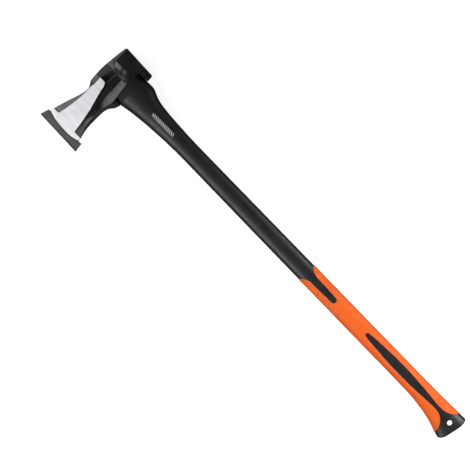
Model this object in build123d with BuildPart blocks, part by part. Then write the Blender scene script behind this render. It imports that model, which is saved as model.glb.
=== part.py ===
"""A splitting-pattern felling axe with a 36 inch glass-fibre handle, lying on its side.

The design plane is the axe's plane of symmetry.  A point in it is (a, b): a runs along the handle
from the top of the head towards the butt, and b runs from the handle's centre line towards the
cutting edge.  h is the distance from that plane.  In the part's own frame +X is +a, -Y is +b and
+Z is up, off the surface that the axe lies on.
"""

import os
from math import copysign, cos, radians, sin, tan, tau

from build123d import *
from scipy.interpolate import PchipInterpolator

# ---------------------------------------------------------------------------------------------
# Driving dimensions, in millimetres
# ---------------------------------------------------------------------------------------------
CENTRE_A = 438.456  # the middle of the overall box
CENTRE_B = 48.22
MID_HEIGHT = 26.872  # height of the middle plane, half of the greatest width of the head
REACH = 60.0  # deeper than anything in the axe, for cuts that go right through

# Cutting edge
EDGE_RADIUS = 330.0
EDGE_MIDDLE = (27.0, 140.6)
EDGE_HALF = 0.3
BEVEL_SLOPE = 0.35
GRIND_FROM = (21.0, 27.0)  # b and h where the ground cheek starts
GRIND_TO = (128.0, 4.2)

# Eye, tang and rod: half length along b and half width, about their own centre
EYE_CENTRE_B = -1.5
EYE_TOP = (26.0, 12.5)
EYE_BOTTOM = (24.6, 11.3)
TANG_TOP = (21.2, 8.8)
TANG_BOTTOM = (23.2, 9.9)
TANG_TOP_A = 12.0
TANG_BOTTOM_A = 78.0
RESIN_TOP_A = 1.2
RESIN_BOTTOM_A = 49.0
ROD = (12.5, 6.2)
ROD_TOP_A = 0.6
ROD_BOTTOM_A = 846.0
FIT = 0.05  # gap between pieces that are bonded or moulded together

# Handle
OVAL_POWER = 2.4  # 2 is an ellipse, and more is squarer
OVAL_POINTS = 16
SHOULDER_A = 65.5
SHOULDER_TILT = 5.0  # degrees; the front of the shoulder is lower than the back
HANDLE_STEPS = 72
GRIP_RINGS_FROM = 480.0
GROOVE_RINGS_TO = 640.0
COLLAR = (-33.3, 30.2, 19.5)  # back b, front b and half thickness
COLLAR_TOP_A = 45.0
GRIP_PROUD = 0.7
GRIP_SUNK = 1.8
GROOVE_WIDTH = 1.6
GROOVE_PITCH = 5.0
GROOVE_FIRST_A = 520.0
GROOVE_COUNT = 17
GROOVE_FROM_B = 8.0  # the ribs run round the front of the grip from here
GROOVE_DEPTH = 0.5
BUTT_ROUND = 2.0
HOLE_AT = (878.0, 4.0)
HOLE_RADIUS = 4.8
RIM_RADIUS = 7.4
RIM_HALF = 14.9

# Edge guard
GUARD_GAP = 0.35
GUARD_WALL = 2.0
GUARD_SLOT_END_B = 141.4
GUARD_SLOT_TOE_A = -13.3
GUARD_SLOT_HEEL_A = 66.2
GUARD_TOP_B = 120.0  # the guard's side profile starts here, above its lip
GUARD_NOSE_B = 150.0

SIDE = Plane(origin=(-CENTRE_A, CENTRE_B, MID_HEIGHT), x_dir=(1, 0, 0), z_dir=(0, 0, -1))
ALONG = Plane(origin=SIDE.origin, x_dir=(0, -1, 0), z_dir=(1, 0, 0))
CROSS = Plane(origin=SIDE.origin, x_dir=(1, 0, 0), z_dir=(0, -1, 0))

# The handle's outer skin: a, b of the back, b of the front, greatest h.  It starts inside the head,
# because the skin isn't true near its own end, and is cut off at the shoulder.
HANDLE = [
    (42, -33.3, 30.2, 20.6),
    (SHOULDER_A, -33.3, 30.2, 20.6),
    (76, -33.4, 28.4, 20.2),
    (87, -33.3, 26.4, 19.2),
    (95, -30.6, 25.3, 18.0),
    (108, -25.6, 23.7, 16.6),
    (122, -22.8, 22.0, 15.5),
    (142, -20.9, 20.5, 14.6),
    (170, -19.4, 18.6, 13.8),
    (210, -18.2, 17.4, 13.2),
    (280, -18.1, 17.7, 13.0),
    (400, -18.3, 18.2, 13.0),
    (600, -18.4, 18.5, 13.0),
    (740, -18.5, 18.5, 13.1),
    (790, -18.6, 19.0, 13.3),
    (825, -18.9, 22.4, 13.6),
    (850, -19.4, 27.2, 13.9),
    (874, -20.2, 35.2, 14.1),
    (900, -21.6, 42.0, 14.1),
]

# Cheek relief.  Each row is b, then points (a, value) from the top of the head to its lower side:
# the outer and inner sides of the top facet, the two sides of the pocket's floor or of the ground
# cheek, the ridge and the gully beside them, the valley, the lower rib, the beard's edge and the
# outer side of the beard.  In the first table the value is h.
POLL_RELIEF = [
    (-49.5, [(-24, 3.0), (6, 20.4), (12, 20.4), (20, 20.4), (25, 20.4), (30, 20.4), (37, 20.4),
             (51, 20.4), (72, 15.0), (90, 10.3)]),
    (-46.0, [(-24, 5.0), (6, 22.5), (12, 22.5), (20, 22.5), (25, 22.5), (30, 22.5), (37, 22.5),
             (51, 22.5), (72, 17.0), (90, 12.3)]),
    (-19.0, [(-24, 5.0), (6, 22.5), (12, 22.5), (20, 22.5), (26, 22.5), (31, 22.5), (37, 22.5),
             (50, 22.5), (72, 17.0), (90, 12.3)]),
    (-11.0, [(-24, 8.0), (12, 20.6), (17, 20.9), (23, 21.1), (27, 21.6), (31, 20.9), (37, 21.9),
             (49, 22.5), (72, 17.0), (90, 12.3)]),
    (-4.5, [(-24, 8.6), (17, 20.2), (18, 20.3), (22.5, 20.4), (26, 20.9), (30, 20.1), (37.5, 20.9),
            (49.5, 22.2), (72, 17.0), (90, 12.3)]),
    (-2.5, [(-24, 8.6), (16.3, 20.1), (17.4, 17.9), (22.5, 16.3), (25.5, 18.8), (29, 17.6),
            (38, 14.9), (49.8, 22.0), (72, 17.0), (90, 12.3)]),
    (9.0, [(-24, 8.0), (12.8, 20.0), (13.8, 17.8), (22.5, 15.2), (25.2, 18.2), (28.5, 16.8),
           (38.8, 14.2), (51.3, 21.4), (72, 16.6), (90, 12.0)]),
    (20.4, [(-24, 7.4), (9.6, 20.0), (10.4, 17.8), (22.5, 14.6), (25.5, 17.8), (29, 16.4),
            (39.2, 13.6), (53.2, 20.9), (72, 16.2), (90, 11.6)]),
]  # fmt: skip
# In this one the value is how far the point lies below the ground cheek.
BLADE_RELIEF = [
    (21.6, [(-24, 18.6), (7.8, 6.5), (8.4, 0), (20.0, 0), (25.7, 5.6), (29.2, 9.0), (39.2, 13.3),
            (53.3, 6.1), (72, 11.0), (90, 15.5)]),
    (25, [(-24, 17.8), (8.0, 6.1), (8.7, 0), (23.2, 0), (26.6, 4.4), (29.6, 7.8), (39.2, 13.0),
          (53.8, 5.9), (72, 11.5), (90, 15.8)]),
    (30, [(-24, 16.6), (8.2, 5.5), (9.0, 0), (25.0, 0), (27.8, 4.2), (30.5, 7.2), (39.3, 12.6),
          (54.2, 5.6), (70, 13.0), (90, 18.0)]),
    (38, [(-24, 14.8), (8.8, 4.8), (9.5, 0), (26.4, 0), (29.4, 4.4), (31.8, 7.0), (39.6, 11.8),
          (55.0, 5.2), (67, 12.4), (90, 18.6)]),
    (48, [(-24, 5.0), (7.4, 3.4), (8.1, 0), (29.3, 0), (32.0, 4.2), (34.4, 6.6), (41.6, 10.6),
          (52.4, 5.0), (59.5, 10.4), (90, 17.0)]),
    (60, [(-24, 3.0), (8.2, 2.4), (9.0, 0), (32.6, 0), (34.8, 3.6), (37.0, 6.0), (45.0, 9.6),
          (50.0, 4.9), (56, 9.5), (90, 14.6)]),
    (75, [(-24, 2.6), (7.7, 2.1), (8.5, 0), (37.0, 0), (38.6, 2.6), (40.2, 4.6), (45.2, 7.6),
          (49.8, 4.3), (55.5, 8.2), (90, 11.8)]),
    (90, [(-24, 2.3), (6.2, 1.8), (7.0, 0), (40.2, 0), (41.2, 2.0), (42.4, 3.8), (44.7, 5.7),
          (50.6, 3.3), (56, 6.2), (90, 9.0)]),
    (105, [(-24, 2.0), (3.9, 1.6), (4.7, 0), (43.0, 0), (43.5, 2.2), (44.1, 3.1), (44.9, 3.7),
           (54.0, 2.0), (57.8, 4.2), (90, 6.2)]),
    (116.6, [(-24, 1.8), (1.6, 1.5), (2.4, 0), (44.7, 0), (45.1, 1.5), (45.5, 2.1), (46.0, 2.4),
             (58.0, 1.3), (60.2, 2.5), (90, 4.0)]),
    (118.2, [(-24, 0), (1.4, 0), (2.0, 0), (45.0, 0), (45.4, 1.4), (45.8, 2.0), (46.3, 2.2),
             (58.5, 1.2), (60.6, 2.3), (90, 3.6)]),
    (120.4, [(-24, 0), (1.2, 0), (1.8, 0), (45.5, 0), (45.9, 1.2), (46.3, 1.8), (46.8, 2.0),
             (59.0, 1.1), (61.2, 2.1), (90, 3.2)]),
    (121.8, [(-24, 0), (1.0, 0), (1.6, 0), (46.0, 0), (46.4, 0), (46.8, 0), (47.2, 0),
             (59.5, 0), (62, 0), (90, 0)]),
    (145, [(-24, 0), (1.0, 0), (1.6, 0), (46.0, 0), (46.4, 0), (46.8, 0), (47.2, 0), (59.5, 0),
           (62, 0), (90, 0)]),
]  # fmt: skip

# Side outlines, as points (a, b)
HEAD_TOP = [(2.9, -46.2), (1.2, -32), (-0.4, -15), (-1.9, 8), (-1.2, 22), (0.3, 37.5)]
HEAD_STEP = (4.6, 43.6)
BLADE_TOP = [HEAD_STEP, (7.3, 50), (6.6, 62), (2.6, 76), (-2.2, 91), (-7.2, 108),
             (-10.4, 120), (-12.2, 127), (-12.9, 132.5)]  # fmt: skip
TOE_ROUND = (-11.3, 137.0)
EDGE_TOE = (-7.0, 138.85)
EDGE_HEEL = (59.5, 139.0)
HEEL_ROUND = (63.5, 137.3)
BEARD = [(64.8, 133), (63.2, 127), (61, 120), (58.3, 110), (56.3, 97), (55.6, 84), (55.5, 70),
         (56, 60), (57.6, 52.5), (61, 46.5), (65, 41.5), (67.4, 35), (68.4, 30.5)]  # fmt: skip
SEAT = [(68.4, 30.5), (55, 30.5), (53, 15), (51, 0), (50.3, -20), (51, -33.8)]
POLL = [(51, -33.8), (71.7, -33.8), (70.9, -44.6), (69, -46.55), (5.4, -48.46), (2.9, -46.2)]
BUTT = [(889.2, -23.6), (892.8, -20.6), (895.4, -16.4), (896.4, -11), (895.3, 2), (892.9, 14),
        (890.8, 24), (888.6, 30), (885.2, 34.4), (880.6, 37.2), (875, 38.8)]  # fmt: skip
SLEEVE_EDGE = [(509.5, -17.4), (514, -13.2), (520, -9.5), (528, -7.1)]
TONGUE_END = (578.8, -5.7)
TONGUE_TIP = (584.6, 0)
DROP_TIP = (661, 0)
DROP_BACK = [(664.6, -3.7), (680, -5.6), (700, -6.9), (720, -8.0), (750, -8.6), (780, -7.8),
             (800, -6.6), (820, -5.0), (840, -3.2), (850, -3.1), (859, -4.6), (867, -8.0),
             (873, -12.6), (878, -18.5), (880.5, -27)]  # fmt: skip
DROP_FRONT = [(871, 44), (871, 34), (869.6, 25), (866, 17), (860, 10.6), (851, 6.0),
              (840, 4.6), (820, 5.6), (800, 6.8), (780, 7.7), (750, 8.2), (720, 7.6),
              (700, 6.3), (680, 5.4), (664.6, 3.7)]  # fmt: skip
GUARD = [(-15, 126), (-9, 127.6), (5, 131.5), (20, 133), (40, 133.6), (50, 132.2), (58, 130.1),
         (63.5, 128.2), (69.4, 127.2), (72.4, 144.9), (-19.8, 142.9)]  # fmt: skip


def cheek_half(b):
    """The distance of the ground cheek from the middle plane at b."""
    (b0, h0), (b1, h1) = GRIND_FROM, GRIND_TO
    return h0 + (h1 - h0) * (b - b0) / (b1 - b0)


def flipped(points):
    """The same points on the other side of the axis, in reverse order."""
    return [(x, -y) for x, y in reversed(points)]


def oval_points(half_b, half_h, centre_b):
    """Points round a superellipse."""
    points = []
    for i in range(OVAL_POINTS):
        c = cos(tau * i / OVAL_POINTS)
        s = sin(tau * i / OVAL_POINTS)
        b = centre_b + half_b * copysign(abs(c) ** (2 / OVAL_POWER), c)
        h = half_h * copysign(abs(s) ** (2 / OVAL_POWER), s)
        points.append((b, h))
    return points


def oval_loft(stations, grow=0.0):
    """A solid through ovals given as (a, back b, front b, half thickness), grown all round."""
    with BuildPart() as body:
        for a, back, front, half_h in stations:
            ring = oval_points((front - back) / 2 + grow, half_h + grow, (front + back) / 2)
            with BuildSketch(ALONG.offset(a)):
                with BuildLine():
                    Spline(*ring, periodic=True)
                make_face()
        loft()
    return body.part


def even_stations(stations, steps):
    """The same shape at even steps, so that the loft through it doesn't ripple."""
    positions, *sizes = zip(*stations)
    curves = [PchipInterpolator(positions, size) for size in sizes]
    spread = []
    for i in range(steps + 1):
        a = positions[0] + (positions[-1] - positions[0]) * i / steps
        spread.append((a, *[float(curve(a)) for curve in curves]))
    return spread


def socket(a_from, size_from, a_to, size_to, grow=0.0):
    """A straight taper between two ovals about the eye's centre."""
    stations = []
    for a, (half_b, half_h) in ((a_from, size_from), (a_to, size_to)):
        stations.append((a, EYE_CENTRE_B - half_b, EYE_CENTRE_B + half_b, half_h))
    return oval_loft(stations, grow)


def zone(points):
    """Everything inside a side outline of straight lines."""
    with BuildPart() as body:
        with BuildSketch(SIDE):
            with BuildLine():
                Polyline(*points, close=True)
            make_face()
        extrude(amount=REACH, both=True)
    return body.part


def rod(grow=0.0):
    """The pultruded rod, or the hole it fills."""
    with BuildPart() as body:
        with BuildSketch(ALONG.offset(ROD_TOP_A)):
            Ellipse(ROD[0] + grow, ROD[1] + grow)
        extrude(amount=ROD_BOTTOM_A - ROD_TOP_A + grow)
    return body.part


# ---------------------------------------------------------------------------------------------
# Axe head
# ---------------------------------------------------------------------------------------------
relief = list(POLL_RELIEF)
for row_b, row in BLADE_RELIEF:
    relief.append((row_b, [(a, cheek_half(row_b) - drop) for a, drop in row]))

# Plain faces, because a sketch would merge the edges in line and the rails would no longer match
relief_faces = []
for row_b, row in relief:
    ring = [CROSS.offset(row_b).from_local_coords((a, h, 0)) for a, h in row + flipped(row)]
    relief_faces.append(Face(Wire.make_polygon(ring)))

with BuildPart() as head_relief:
    loft(sections=relief_faces, ruled=True)

with BuildPart() as head_outline:
    with BuildSketch(SIDE):
        with BuildLine():
            Spline(*HEAD_TOP)
            Line(HEAD_TOP[-1], HEAD_STEP)
            Spline(*BLADE_TOP)
            ThreePointArc(BLADE_TOP[-1], TOE_ROUND, EDGE_TOE)
            ThreePointArc(EDGE_TOE, EDGE_MIDDLE, EDGE_HEEL)
            ThreePointArc(EDGE_HEEL, HEEL_ROUND, BEARD[0])
            Spline(*BEARD)
            Polyline(*SEAT)
            Polyline(*POLL)
        make_face()
    extrude(amount=REACH, both=True)

# The two bevels, as the inside of a disc with sloping sides
edge_axis_b = EDGE_MIDDLE[1] - EDGE_RADIUS
disc_inner = EDGE_RADIUS - 260
disc_half = EDGE_HALF + BEVEL_SLOPE * 260
disc_section = [(disc_inner, disc_half), (EDGE_RADIUS, EDGE_HALF), (EDGE_RADIUS + 5, EDGE_HALF)]
with BuildPart() as edge_disc:
    with BuildSketch(ALONG.offset(EDGE_MIDDLE[0])):
        with BuildLine():
            section = [(edge_axis_b + r, h) for r, h in disc_section]
            Polyline(*section, *flipped(section), close=True)
        make_face()
    centre = ALONG.offset(EDGE_MIDDLE[0]).from_local_coords((edge_axis_b, 0, 0))
    revolve(axis=Axis(centre, (0, 0, 1)))

with BuildPart() as axe_head:
    add(head_relief.part)
    add(head_outline.part, mode=Mode.INTERSECT)
    add(edge_disc.part, mode=Mode.INTERSECT)
    add(socket(-10, EYE_TOP, 60, EYE_BOTTOM), mode=Mode.SUBTRACT)
axe_head.part.label = "axe_head"

# ---------------------------------------------------------------------------------------------
# Rod, resin and collar
# ---------------------------------------------------------------------------------------------
with BuildPart() as glass_fibre_core:
    add(rod())
glass_fibre_core.part.label = "glass_fibre_core"

tang_hole = socket(TANG_TOP_A, TANG_TOP, TANG_BOTTOM_A, TANG_BOTTOM, grow=FIT)
with BuildPart() as eye_resin:
    add(socket(-10, EYE_TOP, 60, EYE_BOTTOM, grow=-FIT))
    add(zone([(RESIN_TOP_A, -40), (RESIN_BOTTOM_A, -40), (RESIN_BOTTOM_A, 40), (RESIN_TOP_A, 40)]),
        mode=Mode.INTERSECT)
    add(tang_hole, mode=Mode.SUBTRACT)
    add(rod(FIT), mode=Mode.SUBTRACT)
eye_resin.part.label = "eye_resin"

collar_top = [(a + FIT, b) for a, b in SEAT[1:]]
shoulder = [(SHOULDER_A + b * tan(radians(SHOULDER_TILT)), b) for b in (-45, 45)]
collar_bottom = [(a - FIT, b) for a, b in shoulder]
with BuildPart() as shoulder_collar:
    add(oval_loft([(COLLAR_TOP_A, *COLLAR), (TANG_BOTTOM_A, *COLLAR)]))
    add(zone([*collar_top, *collar_bottom]), mode=Mode.INTERSECT)
    add(tang_hole, mode=Mode.SUBTRACT)
shoulder_collar.part.label = "shoulder_collar"

# ---------------------------------------------------------------------------------------------
# Handle shell and grip
# ---------------------------------------------------------------------------------------------
with BuildPart() as grip_zone:
    with BuildSketch(SIDE):
        with BuildLine():
            Polyline((509.5, -45), (509.5, -17.4))
            Spline(*SLEEVE_EDGE)
            Line(SLEEVE_EDGE[-1], TONGUE_END)
            ThreePointArc(TONGUE_END, TONGUE_TIP, (TONGUE_END[0], -TONGUE_END[1]))
            Line((TONGUE_END[0], -TONGUE_END[1]), (SLEEVE_EDGE[-1][0], -SLEEVE_EDGE[-1][1]))
            Spline(*flipped(SLEEVE_EDGE))
            Polyline((509.5, 17.4), (509.5, 60), (DROP_FRONT[0][0], 60), DROP_FRONT[0])
            Spline(*DROP_FRONT)
            ThreePointArc(DROP_FRONT[-1], DROP_TIP, DROP_BACK[0])
            Spline(*DROP_BACK)
            Polyline(DROP_BACK[-1], (DROP_BACK[-1][0], -45), (509.5, -45))
        make_face()
    extrude(amount=REACH, both=True)

handle_rings = even_stations(HANDLE, HANDLE_STEPS)
grip_rings = [ring for ring in handle_rings if ring[0] > GRIP_RINGS_FROM]
with BuildPart() as grip_ring:
    add(oval_loft(grip_rings, grow=GRIP_PROUD))
    add(grip_zone.part, mode=Mode.INTERSECT)
    add(oval_loft(grip_rings, grow=-GRIP_SUNK), mode=Mode.SUBTRACT)

groove_rings = [ring for ring in grip_rings if ring[0] < GROOVE_RINGS_TO]
with BuildPart() as grooves:
    with BuildSketch(SIDE):
        for i in range(GROOVE_COUNT):
            with Locations((GROOVE_FIRST_A + i * GROOVE_PITCH, GROOVE_FROM_B)):
                Rectangle(GROOVE_WIDTH, 20, align=(Align.CENTER, Align.MIN))
    extrude(amount=REACH, both=True)
    add(oval_loft(groove_rings, grow=GRIP_PROUD - GROOVE_DEPTH), mode=Mode.SUBTRACT)

with BuildPart() as grip_overmould:
    add(grip_ring.part)
    add(grooves.part, mode=Mode.SUBTRACT)
grip_overmould.part.label = "grip_overmould"

with BuildPart() as handle_zone:
    with BuildSketch(SIDE):
        with BuildLine():
            Spline(*BUTT)
            Polyline(BUTT[-1], (BUTT[-1][0], 45), shoulder[1], shoulder[0], (BUTT[0][0], -45), BUTT[0])
        make_face()
    extrude(amount=REACH, both=True)

with BuildPart() as handle_shell:
    add(oval_loft(handle_rings))
    add(handle_zone.part, mode=Mode.INTERSECT)
    fillet(faces().sort_by(Axis.X)[-1].edges(), BUTT_ROUND)
    with BuildSketch(SIDE):
        with Locations(HOLE_AT):
            Circle(RIM_RADIUS)
    extrude(amount=RIM_HALF, both=True)
    add(socket(TANG_TOP_A, TANG_TOP, TANG_BOTTOM_A, TANG_BOTTOM))
    add(grip_ring.part, mode=Mode.SUBTRACT)
    add(rod(FIT), mode=Mode.SUBTRACT)
    with BuildSketch(SIDE):
        with Locations(HOLE_AT):
            Circle(HOLE_RADIUS)
    extrude(amount=REACH, both=True, mode=Mode.SUBTRACT)
handle_shell.part.label = "handle_shell"

# ---------------------------------------------------------------------------------------------
# Edge guard
# ---------------------------------------------------------------------------------------------
guard_slot = []
guard_outside = []
for row_b in (GUARD_TOP_B, GUARD_SLOT_END_B):
    guard_slot.append((row_b, cheek_half(row_b) + GUARD_GAP))
for row_b in (GUARD_TOP_B, GUARD_SLOT_END_B, GUARD_NOSE_B):
    half = max(cheek_half(row_b), cheek_half(GUARD_SLOT_END_B))
    guard_outside.append((row_b, half + GUARD_GAP + GUARD_WALL))

with BuildPart() as edge_guard:
    with BuildSketch(ALONG.offset(-30)):
        with BuildLine():
            Polyline(*guard_outside, *flipped(guard_outside), close=True)
        make_face()
    extrude(amount=120)
    add(zone(GUARD), mode=Mode.INTERSECT)
    with BuildSketch(ALONG.offset(GUARD_SLOT_TOE_A)):
        with BuildLine():
            Polyline(*guard_slot, *flipped(guard_slot), close=True)
        make_face()
    extrude(amount=GUARD_SLOT_HEEL_A - GUARD_SLOT_TOE_A, mode=Mode.SUBTRACT)
edge_guard.part.label = "edge_guard"

# ---------------------------------------------------------------------------------------------
# Write the pieces
# ---------------------------------------------------------------------------------------------
os.makedirs("parts", exist_ok=True)
export_step(axe_head.part, "parts/axe_head.step")
export_step(glass_fibre_core.part, "parts/glass_fibre_core.step")
export_step(eye_resin.part, "parts/eye_resin.step")
export_step(shoulder_collar.part, "parts/shoulder_collar.step")
export_step(handle_shell.part, "parts/handle_shell.step")
export_step(grip_overmould.part, "parts/grip_overmould.step")
export_step(edge_guard.part, "parts/edge_guard.step")
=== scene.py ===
"""The felling axe's looks: procedural materials, small details, studio light and camera.

Lengths are in metres in the row's frame: +X runs from the head to the butt, -Y from the poll to
the cutting edge and +Z up. Points on the axe are also given as (a, b) in millimetres, a along the
handle from the top of the head and b from the handle's centre line towards the cutting edge.
"""

import math

import bmesh
import bpy
import numpy as np
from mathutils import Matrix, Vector


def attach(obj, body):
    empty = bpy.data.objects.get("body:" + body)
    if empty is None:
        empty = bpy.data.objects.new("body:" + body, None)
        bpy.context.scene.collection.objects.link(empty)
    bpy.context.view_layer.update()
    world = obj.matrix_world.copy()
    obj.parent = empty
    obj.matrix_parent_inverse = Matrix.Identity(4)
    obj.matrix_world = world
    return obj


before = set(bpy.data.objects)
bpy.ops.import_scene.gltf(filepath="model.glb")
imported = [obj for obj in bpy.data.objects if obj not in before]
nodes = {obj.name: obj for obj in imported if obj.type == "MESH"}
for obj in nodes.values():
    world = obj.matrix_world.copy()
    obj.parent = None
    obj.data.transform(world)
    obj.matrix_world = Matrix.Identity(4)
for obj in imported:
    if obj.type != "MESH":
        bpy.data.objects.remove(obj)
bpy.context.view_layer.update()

MM = 0.001

# Where the row's origin is on the axe: a and b in mm, and the middle plane's height in metres
CENTRE_A = 438.456
CENTRE_B = 48.22
MID_HEIGHT = 26.872 * MM

# The head's bare steel, in mm
GRIND_FROM = (21.0, 27.0)  # b and half thickness where the ground cheek starts
GRIND_TO = (128.0, 4.2)  # and where it ends
CHEEK_FROM_B = 21.4
BEVEL_FROM_B = 127.0
CHEEK_TOLERANCE = 0.04
FACES_OUT = 0.85  # the least upward or downward part of a ground face's normal

# Beads beside the collar, in mm
BEAD_HALF = (0.24, 6.0)  # half sizes along b and across the middle plane
BEADS = [  # name, b of its middle, and stations of a and relative size
    ("collar_bead_back", -33.55, [(51.4, 0.6), (51.8, 1.0), (62.0, 1.0), (70.6, 1.0), (71.2, 0.6)]),
    ("collar_bead_front", 30.35, [(55.3, 0.6), (55.7, 1.0), (62.0, 1.0), (67.4, 1.0), (67.8, 0.6)]),
]
BEAD_SIDES = 16

# The printed strip on the shaft's upper side, in mm
STRIP_AT = (146, 0.5)  # a and b of its centre
STRIP_HALF = (26.5, 3.4)  # half length and half width
STRIP_PITCH = 4.2
STRIP_SLANT = 0.6
STRIP_BAR = 0.55  # a bar's share of the pitch

# Materials
NOISE_RANGE = (0.3, 0.7)  # most of a noise texture lies between these
BEVEL_SAMPLES = 6
# Pale edges: rubbed wear, and on the grip a painted highlight
EDGE_RANGE = (0.88, 0.995)  # the rounded normal against the true one, at a pale edge and off it
PATCH_RANGE = (0.35, 0.6)  # the noise where an edge is least and most pale
PATCH_LEAST = 0.2
SPECKLE_RANGE = (0.45, 0.75)
SPECKLE_SHADE = 0.45  # a speckle's colour as a share of the darker one
PAINT = ((0.0028, 0.0028, 0.003), (0.006, 0.006, 0.0066))
PAINT_WORN = (0.12, 0.12, 0.125)
STEEL = ((0.36, 0.362, 0.375), (0.45, 0.452, 0.465))
STEEL_LINES = (0.3, 0.302, 0.315)
STEEL_CLOUDS = (0.28, 0.283, 0.3)
PLASTICS = {
    "handle_shell": {
        "name": "shell_plastic",
        "dark": (0.004, 0.004, 0.0042),
        "light": (0.007, 0.007, 0.0072),
        "roughness": (0.42, 0.54),
        "edge_wear_and_highlight": (0.05, 0.05, 0.05),
        "printed": (0.5, 0.5, 0.5),
    },
    "grip_overmould": {
        "name": "grip_rubber",
        "dark": (0.84, 0.115, 0.008),
        "light": (0.92, 0.14, 0.012),
        "roughness": (0.5, 0.62),
        "specular": 0.25,
        "grain": 1200.0,
        "depth": 0.12 * MM,
        "edge": 1.1 * MM,
        # paler edges here are a painted highlight along the grip's edges, in patches
        "edge_wear_and_highlight": (0.98, 0.34, 0.18),
    },
    "shoulder_collar": {
        "name": "collar_rubber",
        "dark": (0.007, 0.007, 0.0075),
        "light": (0.011, 0.011, 0.0115),
        "roughness": (0.6, 0.72),
        "specular": 0.3,
    },
    "edge_guard": {
        "name": "guard_plastic",
        "dark": (0.028, 0.028, 0.03),
        "light": (0.036, 0.036, 0.038),
        "roughness": (0.4, 0.5),
        "edge_wear_and_highlight": (0.1, 0.1, 0.1),
    },
    "eye_resin": {
        "name": "eye_epoxy",
        "dark": (0.03, 0.026, 0.02),
        "light": (0.05, 0.042, 0.03),
        "roughness": (0.15, 0.3),
    },
    "glass_fibre_core": {
        "name": "glass_fibre",
        "dark": (0.55, 0.5, 0.32),
        "light": (0.72, 0.67, 0.48),
        "roughness": (0.45, 0.6),
    },
}

# Studio
FLOOR_REACH = 6.0
FLOOR_COLOR = (0.6, 0.6, 0.6)
FLOOR_GLOW = 0.86
WORLD_STOPS = [  # height from 0, straight down, to 1, straight up, and how light it is there
    (0.0, 0.04),
    (0.49, 0.04),
    (0.52, 0.38),
    (0.66, 0.38),
    (0.82, 0.04),
]
LIGHTS = [  # name, (a, b) it is aimed at, the way to it, distance, size, power, spread in degrees
    ("head_softbox", (60, 40), (-0.05, -0.54, 0.84), 1.8, (0.9, 0.8), 8.5, 180),
    ("side_softbox", (60, 40), (-0.74, -0.24, 0.63), 1.8, (1.2, 1.2), 9.0, 180),
    ("grip_softbox", (600, 0), (-0.1, -0.78, 0.62), 1.6, (1.1, 0.5), 2.6, 80),
    ("butt_softbox", (770, 0), (0.12, 0.8, 0.59), 1.1, (0.7, 0.4), 1.4, 50),
]

# View
VIEW_TURN = math.radians(45.84)
VIEW_CENTRE = (-0.0639, 0.0034)
VIEW_WIDTH = 0.8324  # what the picture's width covers at the axe's middle plane
VIEW_DISTANCE = 16.0
VIEW_CLIP = 50.0
SENSOR = 36.0


def at(a, b, h=0.0):
    """The point (a, b) in mm, h mm above the axe's middle plane."""
    return Vector(((a - CENTRE_A) * MM, (CENTRE_B - b) * MM, MID_HEIGHT + h * MM))


def cheek_half(b):
    """The ground cheek's distance from the middle plane, in mm."""
    (b0, h0), (b1, h1) = GRIND_FROM, GRIND_TO
    return h0 + (h1 - h0) * (b - b0) / (b1 - b0)


def feed(tree, socket, value):
    """Links an output to an input socket, or sets the socket's own value."""
    if isinstance(value, bpy.types.NodeSocket):
        tree.links.new(value, socket)
    else:
        socket.default_value = value


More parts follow.
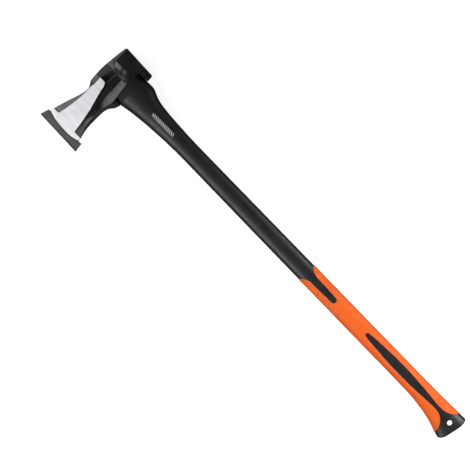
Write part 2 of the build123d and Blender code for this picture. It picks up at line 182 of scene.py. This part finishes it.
class Shader:
    """Builds one Principled material out of a few procedural layers."""

    def __init__(self, name, color, roughness, metallic=0.0, specular=0.5):
        self.material = bpy.data.materials.new(name)
        self.material.use_nodes = True
        self.tree = self.material.node_tree
        self.shader = self.tree.nodes["Principled BSDF"]
        self.set("Base Color", (*color, 1.0))
        self.set("Roughness", roughness)
        self.set("Metallic", metallic)
        self.set("Specular IOR Level", specular)
        self.coordinates = self.node("ShaderNodeTexCoord").outputs["Object"]

    def set(self, key, value):
        feed(self.tree, self.shader.inputs[key], value)

    def node(self, kind, inputs=None, **settings):
        made = self.tree.nodes.new(kind)
        for key, value in settings.items():
            setattr(made, key, value)
        for key, value in (inputs or {}).items():
            feed(self.tree, made.inputs[key], value)
        return made

    def stretched(self, scale):
        inputs = {"Vector": self.coordinates, "Scale": scale}
        return self.node("ShaderNodeMapping", inputs).outputs["Vector"]

    def noise(self, scale, detail=4.0, roughness=0.5, vector=None):
        inputs = {
            "Vector": vector or self.coordinates,
            "Scale": scale,
            "Detail": detail,
            "Roughness": roughness,
        }
        return self.node("ShaderNodeTexNoise", inputs).outputs["Fac"]

    def mapped(self, value, low, high, source=NOISE_RANGE):
        inputs = {
            "Value": value,
            "From Min": source[0],
            "From Max": source[1],
            "To Min": low,
            "To Max": high,
        }
        return self.node("ShaderNodeMapRange", inputs).outputs["Result"]

    def mix(self, factor, first, second):
        """Blends two colours; the numbers are the mix node's factor, A, B and result sockets."""
        mixed = self.node("ShaderNodeMix", data_type="RGBA")
        feed(self.tree, mixed.inputs[0], factor)
        for key, value in ((6, first), (7, second)):
            is_socket = isinstance(value, bpy.types.NodeSocket)
            feed(self.tree, mixed.inputs[key], value if is_socket else (*value, 1.0))
        return mixed.outputs[2]

    def math(self, operation, first, second=0.0, third=0.0):
        values = {0: first, 1: second, 2: third}
        return self.node("ShaderNodeMath", values, operation=operation).outputs["Value"]

    def rounded_normal(self, radius):
        inputs = {"Radius": radius}
        return self.node("ShaderNodeBevel", inputs, samples=BEVEL_SAMPLES).outputs["Normal"]

    def edge_wear_and_highlight_mask(self, radius, scale, amount):
        """As much as amount along a sharp edge, in patches, and 0 on open surfaces: rubbed wear,
        and on the grip a painted highlight.
        """
        normals = {
            0: self.rounded_normal(radius),
            1: self.node("ShaderNodeNewGeometry").outputs["Normal"],
        }
        dot = self.node("ShaderNodeVectorMath", normals, operation="DOT_PRODUCT")
        edge = self.mapped(dot.outputs["Value"], amount, 0.0, EDGE_RANGE)
        patches = self.mapped(self.noise(scale, detail=3.0), PATCH_LEAST, 1.0, PATCH_RANGE)
        return self.math("MULTIPLY", edge, patches)

    def hatched_strip(self):
        """1 on slanting printed bars inside a plain strip on the upper side, and 0 elsewhere."""
        centre = at(*STRIP_AT)
        half_length, half_width = (half * MM for half in STRIP_HALF)
        place = self.node("ShaderNodeSeparateXYZ", {"Vector": self.coordinates}).outputs
        along = self.math("COMPARE", place["X"], centre.x, half_length)
        across = self.math("COMPARE", place["Y"], centre.y, half_width)
        above = self.math("GREATER_THAN", place["Z"], centre.z)
        inside = self.math("MULTIPLY", self.math("MULTIPLY", along, across), above)
        slanted = self.math("MULTIPLY_ADD", place["Y"], STRIP_SLANT, place["X"])
        phase = self.math("FRACT", self.math("DIVIDE", slanted, STRIP_PITCH * MM))
        return self.math("MULTIPLY", inside, self.math("LESS_THAN", phase, STRIP_BAR))

    def bumps(self, edge, *layers):
        """Stacks (height, strength, distance) bumps on a normal that rounds the edges."""
        normal = self.rounded_normal(edge)
        for height, strength, distance in layers:
            inputs = {
                "Height": height,
                "Strength": strength,
                "Distance": distance,
                "Normal": normal,
            }
            normal = self.node("ShaderNodeBump", inputs).outputs["Normal"]
        self.set("Normal", normal)


def painted_steel():
    """Satin black paint over a forged skin, thin along the sharp edges."""
    made = Shader("head_paint", PAINT[0], 0.28, specular=0.8)
    forged = made.noise(130.0, detail=3.0, roughness=0.55)
    streaks = made.noise(1.0, 3.0, 0.55, made.stretched((230.0, 30.0, 90.0)))
    fine = made.noise(900.0, detail=2.0)
    paint = made.mix(made.mapped(forged, 0, 1), *PAINT)
    edge_wear_and_highlight = made.edge_wear_and_highlight_mask(radius=0.7 * MM, scale=260.0, amount=0.5)
    made.set("Base Color", made.mix(edge_wear_and_highlight, paint, PAINT_WORN))
    made.set("Roughness", made.mapped(made.noise(45.0, detail=5.0), 0.23, 0.36))
    made.bumps(
        0.9 * MM,
        (streaks, 0.3, 1.2 * MM),
        (forged, 0.25, 1.0 * MM),
        (fine, 0.12, 0.2 * MM),
    )
    return made.material


def ground_steel():
    """Bare steel with the belt's fine lines running along the edge."""
    made = Shader("head_ground_steel", STEEL[0], 0.36, metallic=1.0)
    lines = made.noise(1.0, 4.0, 0.6, made.stretched((40.0, 2600.0, 300.0)))
    broad = made.noise(1.0, 3.0, 0.5, made.stretched((12.0, 160.0, 60.0)))
    clouds = made.noise(28.0)
    steel = made.mix(made.mapped(broad, 0, 1), *STEEL)
    steel = made.mix(made.mapped(lines, 0, 0.6), steel, STEEL_LINES)
    made.set("Base Color", made.mix(made.mapped(clouds, 0, 0.35), steel, STEEL_CLOUDS))
    made.set("Roughness", made.mapped(lines, 0.3, 0.44))
    made.bumps(0.4 * MM, (lines, 0.2, 0.12 * MM))
    return made.material


def plastic(name, dark, light, roughness, specular=0.5, grain=1500.0, depth=0.1 * MM,
            edge=0.6 * MM, edge_wear_and_highlight=None, printed=None):
    """Moulded plastic or rubber: cloudy colour, fine moulded grain and paler edges where a colour
    is given, rubbed wear on the shell and guard and a painted highlight on the grip.
    """
    made = Shader(name, dark, roughness[0], specular=specular)
    color = made.mix(made.mapped(made.noise(35.0), 0, 1), dark, light)
    speckle = made.noise(grain * 0.6, detail=3.0, roughness=0.7)
    speckle_color = [SPECKLE_SHADE * value for value in dark]
    color = made.mix(made.mapped(speckle, 0, 0.3, SPECKLE_RANGE), color, speckle_color)
    # paler edges in patches: wear on the shell and guard, a painted highlight on the grip
    if edge_wear_and_highlight:
        color = made.mix(made.edge_wear_and_highlight_mask(edge, scale=180.0, amount=0.8), color, edge_wear_and_highlight)
    if printed:
        color = made.mix(made.hatched_strip(), color, printed)
    made.set("Base Color", color)
    made.set("Roughness", made.mapped(made.noise(90.0), *roughness))
    made.bumps(edge, (made.noise(grain, detail=2.0), 0.35, depth))
    return made.material


def floor_material():
    """A pale floor that glows a little, so that it stays even without a strong light."""
    made = Shader("studio_floor", FLOOR_COLOR, 0.7, specular=0.1)
    made.set("Emission Color", (1.0, 1.0, 1.0, 1.0))
    made.set("Emission Strength", FLOOR_GLOW)
    return made.material


def paint_head(head):
    """Puts paint all over the head and bright steel on its ground cheeks and edge bevels."""
    mesh = head.data
    mesh.materials.clear()
    mesh.materials.append(painted_steel())
    mesh.materials.append(ground_steel())
    points = np.array([v.co for v in mesh.vertices], float)
    b = CENTRE_B - points[:, 1] / MM
    h = np.abs(points[:, 2] - MID_HEIGHT) / MM
    cheek = cheek_half(b)
    on_cheek = (np.abs(h - cheek) < CHEEK_TOLERANCE) & (b > CHEEK_FROM_B)
    on_bevel = (b > BEVEL_FROM_B) & (h < cheek + CHEEK_TOLERANCE)
    bare = on_cheek | on_bevel
    for polygon in mesh.polygons:
        faces_out = abs(polygon.normal.z) > FACES_OUT
        polygon.material_index = int(faces_out and all(bare[i] for i in polygon.vertices))


def give(node, material):
    """Gives a CAD node one material all over."""
    node.data.materials.clear()
    node.data.materials.append(material)
    for polygon in node.data.polygons:
        polygon.material_index = 0


def add_object(name, data):
    made = bpy.data.objects.new(name, data)
    bpy.context.scene.collection.objects.link(made)
    return made


def collar_bead(name, bead_b, stations):
    """A rubber bead that closes the gap between the collar and the head beside it."""
    shape = bmesh.new()
    rings = []
    for a, grow in stations:
        ring = []
        for i in range(BEAD_SIDES):
            turn = math.tau * i / BEAD_SIDES
            b = bead_b + BEAD_HALF[0] * grow * math.cos(turn)
            ring.append(shape.verts.new(at(a, b, BEAD_HALF[1] * grow * math.sin(turn))))
        rings.append(ring)
    for first, second in zip(rings, rings[1:]):
        for i in range(BEAD_SIDES):
            j = (i + 1) % BEAD_SIDES
            shape.faces.new((first[i], first[j], second[j], second[i])).smooth = True
    shape.faces.new(rings[0])
    shape.faces.new(reversed(rings[-1]))
    bmesh.ops.recalc_face_normals(shape, faces=shape.faces)
    mesh = bpy.data.meshes.new(name)
    shape.to_mesh(mesh)
    shape.free()
    return add_object(name, mesh)


def area_light(name, aim, toward, distance, size, power, spread):
    """A rectangular softbox at a distance from the point (a, b) that it is aimed at."""
    data = bpy.data.lights.new(name, "AREA")
    data.shape = "RECTANGLE"
    data.size, data.size_y = size
    data.energy = power
    data.spread = math.radians(spread)
    lamp = add_object(name, data)
    direction = Vector(toward).normalized()
    lamp.location = at(*aim) + direction * distance
    lamp.rotation_euler = (-direction).to_track_quat("-Z", "Y").to_euler()


def studio_floor():
    """A flat square under the axe that reflections and bounced light don't see."""
    mesh = bpy.data.meshes.new("studio_floor")
    corners = ((-1, -1), (1, -1), (1, 1), (-1, 1))
    points = [(x * FLOOR_REACH, y * FLOOR_REACH, 0) for x, y in corners]
    mesh.from_pydata(points, [], [(0, 1, 2, 3)])
    mesh.materials.append(floor_material())
    made = add_object("studio_floor", mesh)
    made.visible_glossy = False
    made.visible_diffuse = False
    return made


def studio_world():
    """Dark overhead and underneath, with a pale band a little above the horizon."""
    world = bpy.data.worlds.new("studio")
    world.use_nodes = True
    tree = world.node_tree
    direction = tree.nodes.new("ShaderNodeTexCoord").outputs["Generated"]
    parts = tree.nodes.new("ShaderNodeSeparateXYZ")
    height = tree.nodes.new("ShaderNodeMapRange")
    height.inputs["From Min"].default_value = -1.0
    ramp = tree.nodes.new("ShaderNodeValToRGB")
    stops = ramp.color_ramp.elements
    while len(stops) < len(WORLD_STOPS):
        stops.new(1.0)
    for stop, (position, value) in zip(stops, WORLD_STOPS):
        stop.position = position
        stop.color = (value, value, value, 1.0)
    tree.links.new(direction, parts.inputs["Vector"])
    tree.links.new(parts.outputs["Z"], height.inputs["Value"])
    tree.links.new(height.outputs["Result"], ramp.inputs["Fac"])
    tree.links.new(ramp.outputs["Color"], tree.nodes["Background"].inputs["Color"])
    return world


def photo_camera():
    """A camera straight above the axe, turned so that it lies across the picture."""
    data = bpy.data.cameras.new("photo_camera")
    data.sensor_width = SENSOR
    data.lens = SENSOR * VIEW_DISTANCE / VIEW_WIDTH
    data.clip_end = VIEW_CLIP
    made = add_object("photo_camera", data)
    made.location = (*VIEW_CENTRE, MID_HEIGHT + VIEW_DISTANCE)
    made.rotation_euler = (0.0, 0.0, VIEW_TURN)
    return made


# Looks of the CAD's nodes
paint_head(nodes["axe_head"])
for node_name, finish in PLASTICS.items():
    give(nodes[node_name], plastic(**finish))

# Small details
collar_rubber = nodes["shoulder_collar"].data.materials[0]
for bead_name, middle_b, bead_stations in BEADS:
    bead = collar_bead(bead_name, middle_b, bead_stations)
    bead.data.materials.append(collar_rubber)
    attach(bead, "axe")

# Stage
floor = studio_floor()
for light in LIGHTS:
    area_light(*light)
bpy.context.scene.world = studio_world()
bpy.context.scene.view_settings.view_transform = "Standard"
bpy.context.scene.camera = photo_camera()
